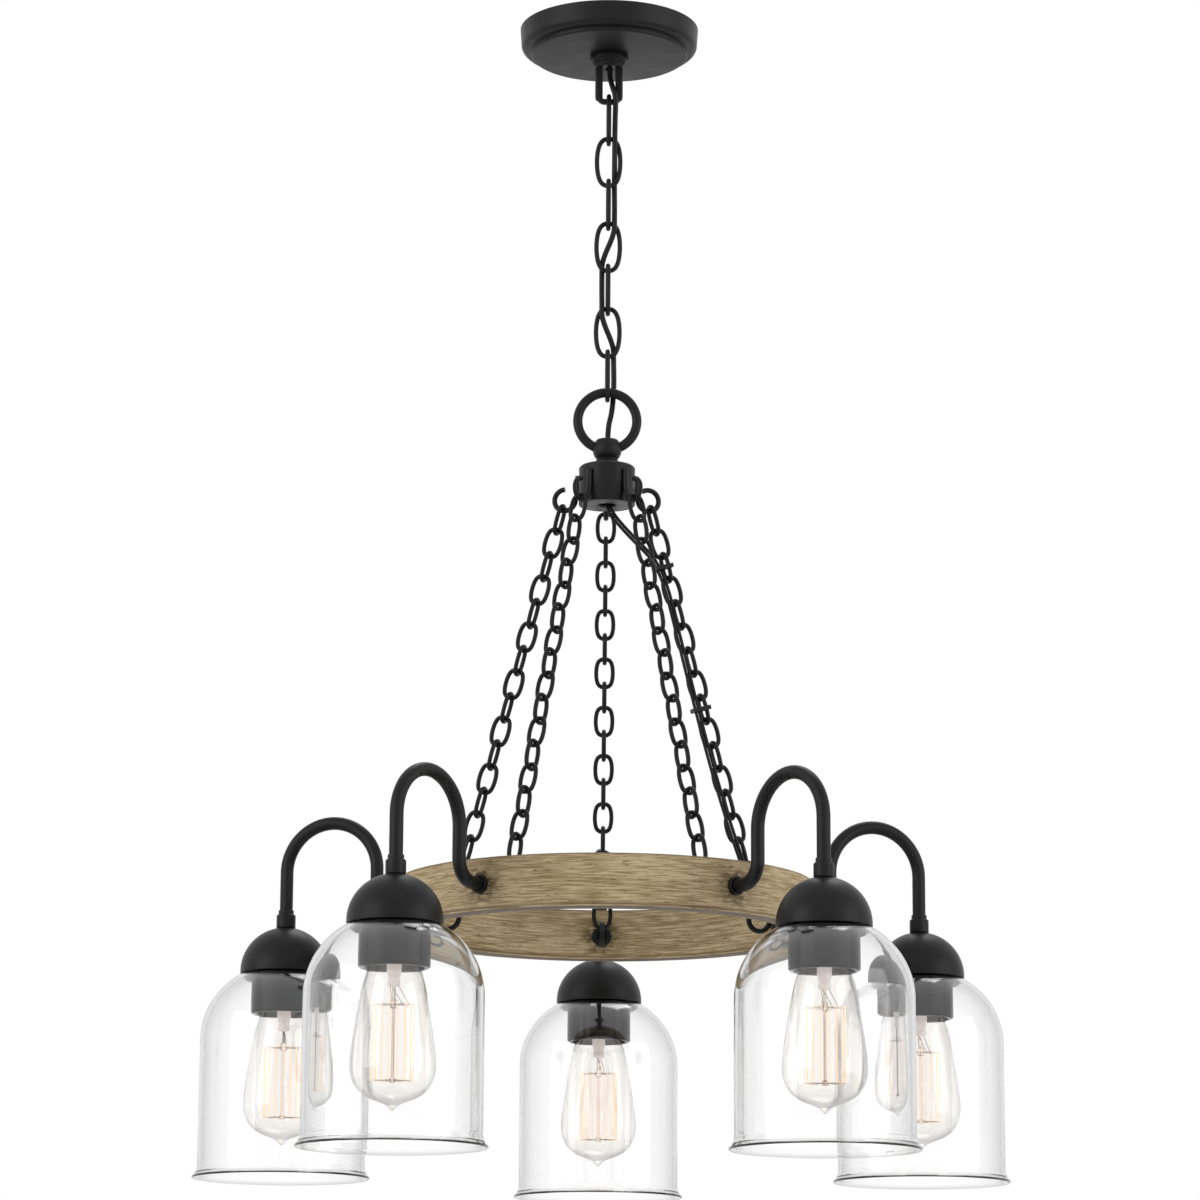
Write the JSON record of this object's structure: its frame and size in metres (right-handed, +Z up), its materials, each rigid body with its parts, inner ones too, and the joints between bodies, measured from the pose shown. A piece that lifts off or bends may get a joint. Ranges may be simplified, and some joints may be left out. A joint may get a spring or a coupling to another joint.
{
  "type": "chandelier",
  "caption": "Ring chandelier hung on a chain: wood-look ring on fanned chains, bent black arms, clear glass bell shades and long filament bulbs.",
  "frame": {"origin": "centre of the outlet-box screw holes on the crossbar's upper face, at the ceiling", "axes": "+Z up into the ceiling, +X along the line of the two outlet-box screws, the pair of front lights towards -Y"},
  "size_m": [0.592, 0.5693, 0.8485],
  "materials": {
    "black_metal": "matte",
    "zinc_steel": "satin",
    "black_cord": "matte",
    "black_plastic": "matte",
    "weathered_wood": "matte",
    "dark_wood": "matte",
    "clear_glass": "gloss",
    "bulb_glass": "gloss",
    "copper": "satin",
    "brass": "satin"
  },
  "bodies": {
    "ceiling_mount": {"crossbar": "zinc_steel", "threaded_nipple": "zinc_steel", "nipple_locknuts": "zinc_steel", "canopy_loop": "black_metal", "supply_cord": "black_cord"},
    "canopy_drop": {"canopy": "black_metal", "canopy_collar": "black_metal"},
    "link_1": {"chain_link_1": "black_metal"},
    "link_2": {"chain_link_2": "black_metal"},
    "link_3": {"chain_link_3": "black_metal"},
    "link_4": {"chain_link_4": "black_metal"},
    "link_5": {"chain_link_5": "black_metal"},
    "link_6": {"chain_link_6": "black_metal"},
    "link_7": {"chain_link_7": "black_metal"},
    "fixture": {"hanging_ring": "black_metal", "hub_ball": "black_metal", "hub_body": "black_metal", "hub_plate": "zinc_steel", "wire_splice": "black_plastic", "hub_hooks": "black_metal", "ring_channel": "weathered_wood", "ring_cover": "dark_wood", "ring_eyes": "black_metal", "eye_nuts": "black_metal", "arm_collars": "black_metal", "arm_locknuts": "zinc_steel", "neck_couplings": "black_metal", "shade_caps": "black_metal", "socket_bodies": "black_plastic", "socket_shells": "copper", "socket_rings": "black_metal", "lower_wires": "black_cord", "cable_ties": "black_plastic", "wire_bush": "black_plastic", "lower_chain_front_left": "black_metal", "arm_front_left": "black_metal", "glass_shade_front_left": "clear_glass", "lower_chain_front_right": "black_metal", "arm_front_right": "black_metal", "glass_shade_front_right": "clear_glass", "lower_chain_right": "black_metal", "arm_right": "black_metal", "glass_shade_right": "clear_glass", "lower_chain_back": "black_metal", "arm_back": "black_metal", "glass_shade_back": "clear_glass", "lower_chain_left": "black_metal", "arm_left": "black_metal", "glass_shade_left": "clear_glass"},
    "bulb_front_left": {"bulb_glass_front_left": "bulb_glass", "bulb_base_front_left": "brass"},
    "bulb_front_right": {"bulb_glass_front_right": "bulb_glass", "bulb_base_front_right": "brass"},
    "bulb_right": {"bulb_glass_right": "bulb_glass", "bulb_base_right": "brass"},
    "bulb_back": {"bulb_glass_back": "bulb_glass", "bulb_base_back": "brass"},
    "bulb_left": {"bulb_glass_left": "bulb_glass", "bulb_base_left": "brass"}
  },
  "joints": [
    {"name": "canopy_slide", "type": "slide", "parent": "ceiling_mount", "child": "canopy_drop", "axis": [0, 0, 1], "range_m": [-0.025, 0]},
    {"name": "link_1_swing", "type": "hinge", "parent": "ceiling_mount", "child": "link_1", "pos_m": [0, 0, -0.0558], "axis": [1, 0, 0], "range_deg": [-8, 8]},
    {"name": "link_2_swing", "type": "hinge", "parent": "link_1", "child": "link_2", "pos_m": [0, 0, -0.08835], "axis": [0, 1, 0], "range_deg": [-8, 8]},
    {"name": "link_3_swing", "type": "hinge", "parent": "link_2", "child": "link_3", "pos_m": [0, 0, -0.12115], "axis": [1, 0, 0], "range_deg": [-8, 8]},
    {"name": "link_4_swing", "type": "hinge", "parent": "link_3", "child": "link_4", "pos_m": [0, 0, -0.15395], "axis": [0, 1, 0], "range_deg": [-8, 8], "deforming": ["supply_cord"]},
    {"name": "link_5_swing", "type": "hinge", "parent": "link_4", "child": "link_5", "pos_m": [0, 0, -0.18675], "axis": [1, 0, 0], "range_deg": [-8, 8]},
    {"name": "link_6_swing", "type": "hinge", "parent": "link_5", "child": "link_6", "pos_m": [0, 0, -0.21955], "axis": [0, 1, 0], "range_deg": [-8, 8]},
    {"name": "link_7_swing", "type": "hinge", "parent": "link_6", "child": "link_7", "pos_m": [0, 0, -0.25235], "axis": [1, 0, 0], "range_deg": [-8, 8]},
    {"name": "fixture_swing", "type": "hinge", "parent": "link_7", "child": "fixture", "pos_m": [0, 0, -0.28515], "axis": [0, 1, 0], "range_deg": [-8, 8]},
    {"name": "bulb_front_left_unscrew", "type": "slide", "parent": "fixture", "child": "bulb_front_left", "axis": [0, 0, -1], "range_m": [0, 0.03]},
    {"name": "bulb_front_right_unscrew", "type": "slide", "parent": "fixture", "child": "bulb_front_right", "axis": [0, 0, -1], "range_m": [0, 0.03]},
    {"name": "bulb_right_unscrew", "type": "slide", "parent": "fixture", "child": "bulb_right", "axis": [0, 0, -1], "range_m": [0, 0.03]},
    {"name": "bulb_back_unscrew", "type": "slide", "parent": "fixture", "child": "bulb_back", "axis": [0, 0, -1], "range_m": [0, 0.03]},
    {"name": "bulb_left_unscrew", "type": "slide", "parent": "fixture", "child": "bulb_left", "axis": [0, 0, -1], "range_m": [0, 0.03]}
  ]
}
